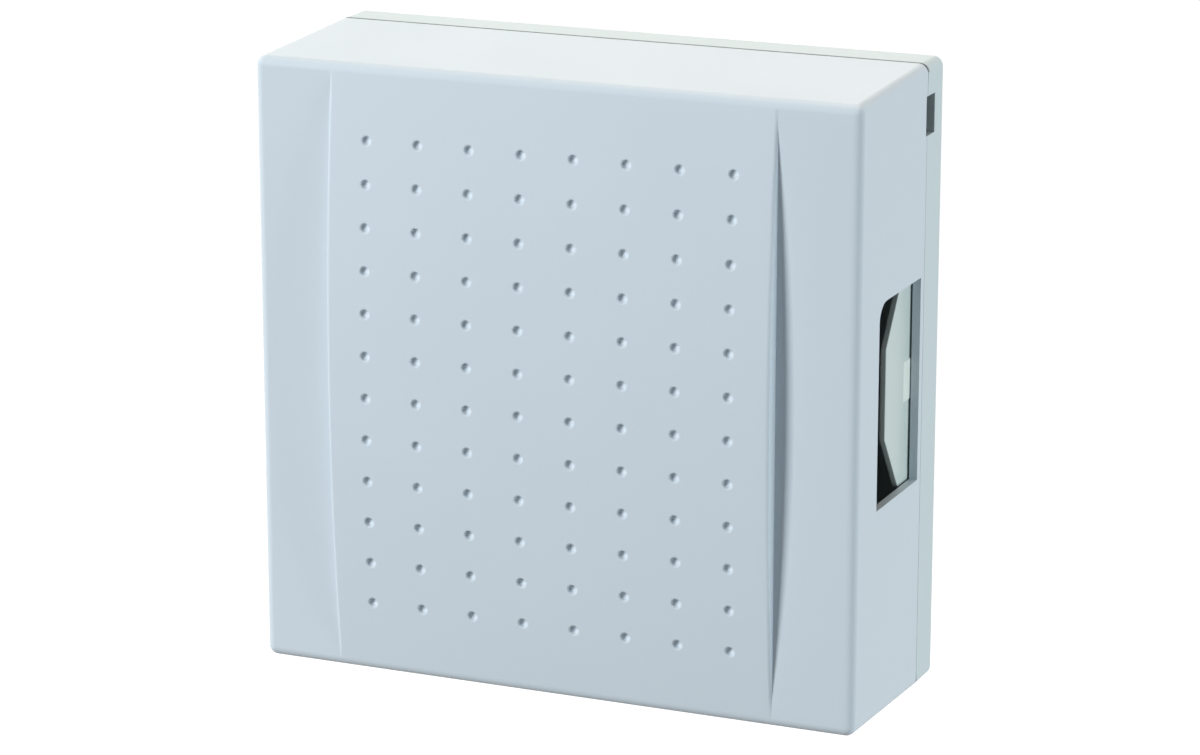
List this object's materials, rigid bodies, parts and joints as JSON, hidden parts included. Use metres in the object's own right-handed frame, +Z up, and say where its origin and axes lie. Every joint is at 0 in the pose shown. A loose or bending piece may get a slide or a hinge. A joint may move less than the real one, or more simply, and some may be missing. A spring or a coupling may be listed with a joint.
{
  "type": "doorbell chime box",
  "caption": "Square wall-mounted doorbell chime box: a bowed, dimpled cover over a base that holds a solenoid striker between tone bars.",
  "frame": {"origin": "middle of the base's back face, which lies on the wall", "axes": "+X right as seen from the room, +Y into the wall, +Z up"},
  "size_m": [0.13, 0.0505, 0.13],
  "materials": {
    "cover_plastic": "smooth pale blue-grey moulding, low sheen",
    "base_plastic": "smooth pale grey moulding, low sheen",
    "tongue_plastic": "smooth pale moulding",
    "bar_steel": "drawn flat bar, bright",
    "grommet_rubber": "dull black",
    "plated_steel": "zinc plated",
    "yoke_steel": "pressed and plated",
    "bobbin_plastic": "natural nylon",
    "copper_wire": "enamelled copper wire",
    "coil_tape": "polyester tape",
    "clamp_brass": "turned and plain",
    "lead_insulation": "wire insulation",
    "core_steel": "turned steel",
    "tip_nylon": "natural nylon",
    "spring_steel": "spring wire and strip",
    "block_plastic": "moulded block"
  },
  "bodies": {
    "base": {"base": "base_plastic", "tone_bar_low": "bar_steel", "tone_bar_high": "bar_steel", "bar_grommets": "grommet_rubber", "bar_washers": "plated_steel", "bar_screws": "plated_steel", "solenoid_yoke": "yoke_steel", "solenoid_strap": "yoke_steel", "coil_bobbin": "bobbin_plastic", "coil_winding": "copper_wire", "coil_tape": "coil_tape", "solder_pins": "clamp_brass", "coil_leads": "lead_insulation", "return_spring": "spring_steel", "yoke_screws": "plated_steel", "terminal_block": "block_plastic", "terminal_clamps": "clamp_brass", "block_screws": "plated_steel"},
    "cover": {"cover": "cover_plastic"},
    "tongue_left": {"release_tongue_left": "tongue_plastic"},
    "tongue_right": {"release_tongue_right": "tongue_plastic"},
    "plunger": {"plunger_core": "core_steel", "striker_tip_left": "tip_nylon", "striker_tip_right": "tip_nylon", "spring_clip": "spring_steel"},
    "terminal_screw_1": {"terminal_screw_1": "plated_steel"},
    "terminal_screw_2": {"terminal_screw_2": "plated_steel"},
    "terminal_screw_3": {"terminal_screw_3": "plated_steel"}
  },
  "joints": [
    {"name": "cover_pull", "type": "slide", "parent": "base", "child": "cover", "axis": [0, -1, 0], "range_m": [0, 0.06]},
    {"name": "tongue_left_press", "type": "hinge", "parent": "base", "child": "tongue_left", "pos_m": [-0.0622, -0.004, 0.001], "axis": [0, 0, 1], "range_deg": [0, 5], "stiffness_Nm_per_rad": 0.7},
    {"name": "tongue_right_press", "type": "hinge", "parent": "base", "child": "tongue_right", "pos_m": [0.0622, -0.004, 0.001], "axis": [0, 0, -1], "range_deg": [0, 5], "stiffness_Nm_per_rad": 0.7},
    {"name": "plunger_strike", "type": "slide", "parent": "base", "child": "plunger", "axis": [1, 0, 0], "range_m": [-0.0027, 0.0067], "stiffness_N_per_m": 120, "deforming": ["return_spring"]},
    {"name": "terminal_screw_1_turn", "type": "hinge", "parent": "base", "child": "terminal_screw_1", "pos_m": [-0.011, -0.0118, -0.044], "axis": [0, -1, 0], "range_deg": [0, 720]},
    {"name": "terminal_screw_2_turn", "type": "hinge", "parent": "base", "child": "terminal_screw_2", "pos_m": [0, -0.0118, -0.044], "axis": [0, -1, 0], "range_deg": [0, 720]},
    {"name": "terminal_screw_3_turn", "type": "hinge", "parent": "base", "child": "terminal_screw_3", "pos_m": [0.011, -0.0118, -0.044], "axis": [0, -1, 0], "range_deg": [0, 720]}
  ]
}
